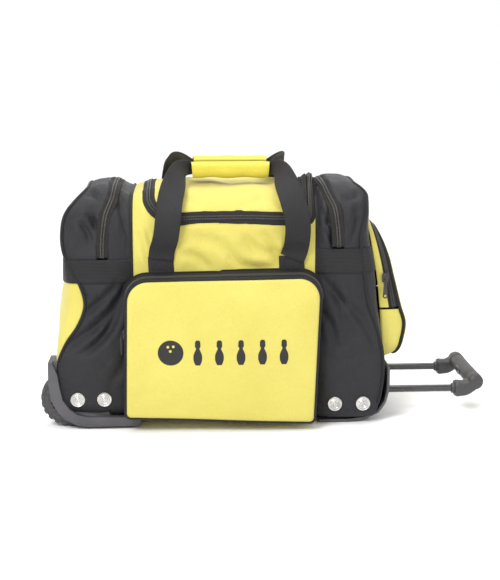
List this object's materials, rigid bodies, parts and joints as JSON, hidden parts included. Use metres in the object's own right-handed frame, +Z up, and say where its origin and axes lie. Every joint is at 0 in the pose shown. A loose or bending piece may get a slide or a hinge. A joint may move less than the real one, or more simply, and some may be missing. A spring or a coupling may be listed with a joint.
{
  "type": "bowling ball bag",
  "caption": "Wheeled duffel bag for a bowling ball, with black shoe compartments at both ends, webbing carry handles and a telescopic pull handle.",
  "frame": {"origin": "on the floor, in the middle of the outline with the pull handle as built", "axes": "+X towards the pull handle, -Y the front with the big pocket, +Z up"},
  "size_m": [0.689, 0.3069, 0.404],
  "materials": {
    "yellow_fabric": "coated polyester, matt",
    "black_fabric": "coated polyester, matt",
    "webbing": "woven polypropylene, matt",
    "zip_black": "matt",
    "housing_plastic": "moulded, fine grain",
    "tyre_rubber": "matt",
    "rivet_steel": "satin",
    "tube_enamel": "satin black",
    "grip_plastic": "moulded, fine grain",
    "foam": "foam, matt",
    "board": "matt",
    "axle_steel": "satin"
  },
  "bodies": {
    "bag": {"axle_front": "axle_steel", "axle_rear": "axle_steel", "ball_cup": "foam", "band_left": "webbing", "band_right": "webbing", "base_board": "board", "centre_shell": "yellow_fabric", "corner_plate": "housing_plastic", "end_panel_left": "yellow_fabric", "end_pocket": "yellow_fabric", "end_shell_left": "black_fabric", "end_shell_right": "black_fabric", "left_zip": "zip_black", "main_zip": "zip_black", "pocket_gusset": "yellow_fabric", "pocket_zip": "zip_black", "right_zip": "zip_black", "rivet_front_1": "rivet_steel", "rivet_front_2": "rivet_steel", "rivet_front_3": "rivet_steel", "rivet_front_4": "rivet_steel", "rivet_rear_1": "rivet_steel", "rivet_rear_2": "rivet_steel", "rivet_rear_3": "rivet_steel", "rivet_rear_4": "rivet_steel", "sleeve_front": "tube_enamel", "sleeve_rear": "tube_enamel", "strap_foot_front_left": "webbing", "strap_foot_front_right": "webbing", "strap_foot_rear_left": "webbing", "strap_foot_rear_right": "webbing", "tube_bracket": "housing_plastic", "wheel_housing_front": "housing_plastic", "wheel_housing_rear": "housing_plastic"},
    "wheel_front": {"tyre_front": "tyre_rubber", "hub_front": "housing_plastic"},
    "wheel_rear": {"tyre_rear": "tyre_rubber", "hub_rear": "housing_plastic"},
    "middle_stage": {"middle_tube_front": "tube_enamel", "middle_tube_rear": "tube_enamel"},
    "trolley_handle": {"inner_tube_front": "tube_enamel", "inner_tube_rear": "tube_enamel", "trolley_grip": "grip_plastic"},
    "button": {"release_button": "housing_plastic"},
    "lid": {"main_lid": "yellow_fabric"},
    "flap_left": {"left_flap": "black_fabric"},
    "flap_right": {"right_flap": "black_fabric"},
    "pocket_front": {"pocket_face": "yellow_fabric"},
    "carry_front": {"strap_front": "webbing", "wrap_front": "yellow_fabric"},
    "carry_rear": {"strap_rear": "webbing", "wrap_rear": "yellow_fabric"},
    "zip_main_slider": {"slider_main": "zip_black"},
    "zip_main_puller": {"puller_main": "zip_black"},
    "zip_pocket_slider": {"slider_pocket": "zip_black"},
    "zip_pocket_puller": {"puller_pocket": "zip_black"},
    "zip_end_slider": {"slider_end": "zip_black"},
    "zip_end_puller": {"puller_end": "zip_black"},
    "zip_left_slider": {"slider_left": "zip_black"},
    "zip_right_slider": {"slider_right": "zip_black"}
  },
  "joints": [
    {"name": "wheel_front_spin", "type": "hinge", "parent": "bag", "child": "wheel_front", "pos_m": [-0.3015, -0.0954, 0.043], "axis": [0, 1, 0], "continuous": true},
    {"name": "wheel_rear_spin", "type": "hinge", "parent": "bag", "child": "wheel_rear", "pos_m": [-0.3015, 0.1186, 0.043], "axis": [0, 1, 0], "continuous": true},
    {"name": "middle_slide", "type": "slide", "parent": "bag", "child": "middle_stage", "axis": [1, 0, 0], "range_m": [0, 0.34]},
    {"name": "handle_slide", "type": "slide", "parent": "middle_stage", "child": "trolley_handle", "axis": [1, 0, 0], "range_m": [-0.105, 0.23]},
    {"name": "button_press", "type": "slide", "parent": "trolley_handle", "child": "button", "axis": [1, 0, 0], "range_m": [0, 0.0035], "stiffness_N_per_m": 400},
    {"name": "lid_hinge", "type": "hinge", "parent": "bag", "child": "lid", "pos_m": [-0.0575, 0.1116, 0.3481], "axis": [-1, 0, 0], "range_deg": [0, 60]},
    {"name": "carry_front_hinge", "type": "hinge", "parent": "bag", "child": "carry_front", "pos_m": [-0.0615, -0.1176, 0.262], "axis": [1, 0, 0], "range_deg": [0, 111]},
    {"name": "carry_rear_hinge", "type": "hinge", "parent": "bag", "child": "carry_rear", "pos_m": [-0.0615, 0.1408, 0.262], "axis": [-1, 0, 0], "range_deg": [0, 111]},
    {"name": "flap_left_hinge", "type": "hinge", "parent": "bag", "child": "flap_left", "pos_m": [-0.30542, 0.0116, 0.262], "axis": [0, -1, 0], "range_deg": [0, 60]},
    {"name": "flap_right_hinge", "type": "hinge", "parent": "bag", "child": "flap_right", "pos_m": [0.16188, 0.0116, 0.306], "axis": [0, 1, 0], "range_deg": [0, 60]},
    {"name": "pocket_hinge", "type": "hinge", "parent": "bag", "child": "pocket_front", "pos_m": [-0.0705, -0.1444, 0.0135], "axis": [1, 0, 0], "range_deg": [0, 25]},
    {"name": "zip_main_run", "type": "slide", "parent": "bag", "child": "zip_main_slider", "axis": [-1, 0, 0], "range_m": [0, 0.19]},
    {"name": "zip_main_pull", "type": "hinge", "parent": "zip_main_slider", "child": "zip_main_puller", "pos_m": [0.0575, -0.1183, 0.3127], "axis": [-1, 0, 0], "range_deg": [0, 60]},
    {"name": "zip_pocket_run", "type": "slide", "parent": "bag", "child": "zip_pocket_slider", "axis": [0, 0, 1], "range_m": [0, 0.045]},
    {"name": "zip_pocket_pull", "type": "hinge", "parent": "zip_pocket_slider", "child": "zip_pocket_puller", "pos_m": [-0.2189, -0.1402, 0.148], "axis": [0, 1, 0], "range_deg": [0, 60]},
    {"name": "zip_end_run", "type": "slide", "parent": "bag", "child": "zip_end_slider", "axis": [0, 0, 1], "range_m": [0, 0.04]},
    {"name": "zip_end_pull", "type": "hinge", "parent": "zip_end_slider", "child": "zip_end_puller", "pos_m": [0.181, -0.0909, 0.22], "axis": [-1, 0, 0], "range_deg": [0, 60]},
    {"name": "zip_left_run", "type": "slide", "parent": "bag", "child": "zip_left_slider", "axis": [0, 0, 1], "range_m": [0, 0.035]},
    {"name": "zip_right_run", "type": "slide", "parent": "bag", "child": "zip_right_slider", "axis": [0, 0, 1], "range_m": [0, 0.025]}
  ],
  "couplings": [
    {"joint": "carry_front_hinge", "follows": "lid_hinge", "ratio": 1.85},
    {"joint": "carry_rear_hinge", "follows": "lid_hinge", "ratio": 1.85}
  ]
}
